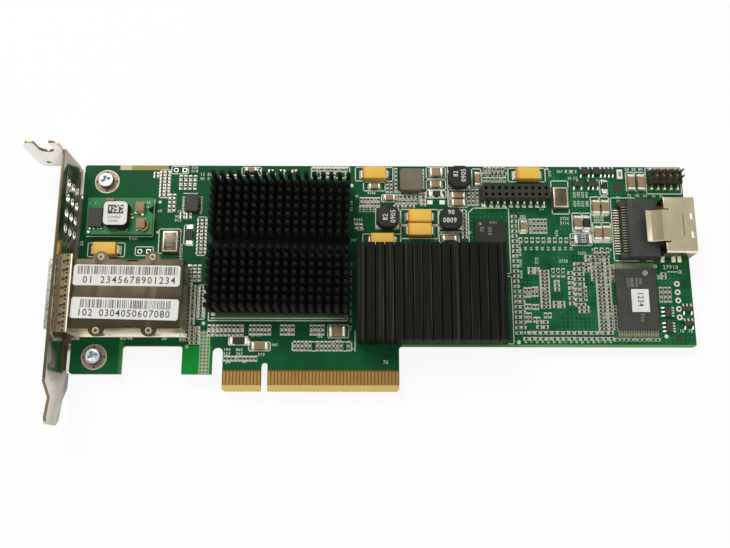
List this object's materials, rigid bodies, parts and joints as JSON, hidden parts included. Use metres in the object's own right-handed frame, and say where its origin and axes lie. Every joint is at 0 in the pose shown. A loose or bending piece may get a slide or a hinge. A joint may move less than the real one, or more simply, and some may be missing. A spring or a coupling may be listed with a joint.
{
  "type": "storage controller card",
  "caption": "Low-profile server expansion card that runs a set of disks, with a gold edge connector, a port on its bracket, an inner disk port and black heatsinks.",
  "frame": {"origin": "the edge connector's datum: the middle of its key notch, at the tips of the fingers, on the board's component face", "axes": "+X runs along the board from the bracket to the far end, +Y from the fingers to the top edge, +Z out of the component face"},
  "size_m": [0.1959, 0.0794, 0.0226],
  "materials": {
    "board_laminate": "satin solder mask",
    "gold_plate": "gold plated",
    "bracket_steel": "nickel plated",
    "screw_steel": "zinc plated",
    "cage_metal": "dull plated",
    "gasket_metal": "dull plated",
    "black_plastic": "moulded",
    "label_paper": "matt",
    "shell_metal": "nickel plated",
    "tinned_metal": "tinned",
    "package_laminate": "satin",
    "lid_metal": "satin",
    "thermal_pad": "matt",
    "heatsink_black": "black anodised",
    "chip_plastic": "moulded",
    "module_laminate": "satin solder mask",
    "coil_ferrite": "matt",
    "capacitor_ceramic": "satin",
    "tantalum_resin": "moulded",
    "resistor_ceramic": "satin",
    "bead_ferrite": "satin",
    "shield_ferrite": "matt",
    "oscillator_ceramic": "matt"
  },
  "bodies": {
    "root": {"circuit_board": "board_laminate", "edge_contacts": "gold_plate", "bracket": "bracket_steel", "bracket_screws": "screw_steel", "port_cage": "cage_metal", "port_rivets": "cage_metal", "port_gasket": "gasket_metal", "port_receptacle": "black_plastic", "port_contacts": "gold_plate", "port_labels": "label_paper", "disk_port_housing": "black_plastic", "disk_port_shell": "shell_metal", "disk_port_leads": "tinned_metal", "processor": "package_laminate", "processor_lid": "lid_metal", "processor_pad": "thermal_pad", "processor_heatsink": "heatsink_black", "memory_chips": "chip_plastic", "memory_pads": "thermal_pad", "memory_heatsink": "heatsink_black", "flash_chip": "chip_plastic", "flash_leads": "tinned_metal", "flash_label": "label_paper", "regulator_board": "module_laminate", "regulator_pins": "gold_plate", "regulator_coil": "coil_ferrite", "regulator_label": "label_paper", "regulator_chip": "chip_plastic", "regulator_capacitors": "capacitor_ceramic", "tantalum_capacitors": "tantalum_resin", "tantalum_terminals": "tinned_metal", "ceramic_capacitors": "capacitor_ceramic", "ceramic_terminals": "tinned_metal", "chip_resistors": "resistor_ceramic", "resistor_terminals": "tinned_metal", "ferrite_bead": "bead_ferrite", "ferrite_terminals": "tinned_metal", "power_coils": "coil_ferrite", "power_coil_feet": "black_plastic", "shielded_coil": "shield_ferrite", "oscillator_bases": "oscillator_ceramic", "oscillator_lids": "lid_metal", "clock_chip": "chip_plastic", "clock_leads": "tinned_metal", "socket_header": "black_plastic", "socket_leads": "tinned_metal", "pin_header": "black_plastic", "pin_header_pins": "gold_plate", "small_chips": "chip_plastic"}
  },
  "joints": []
}
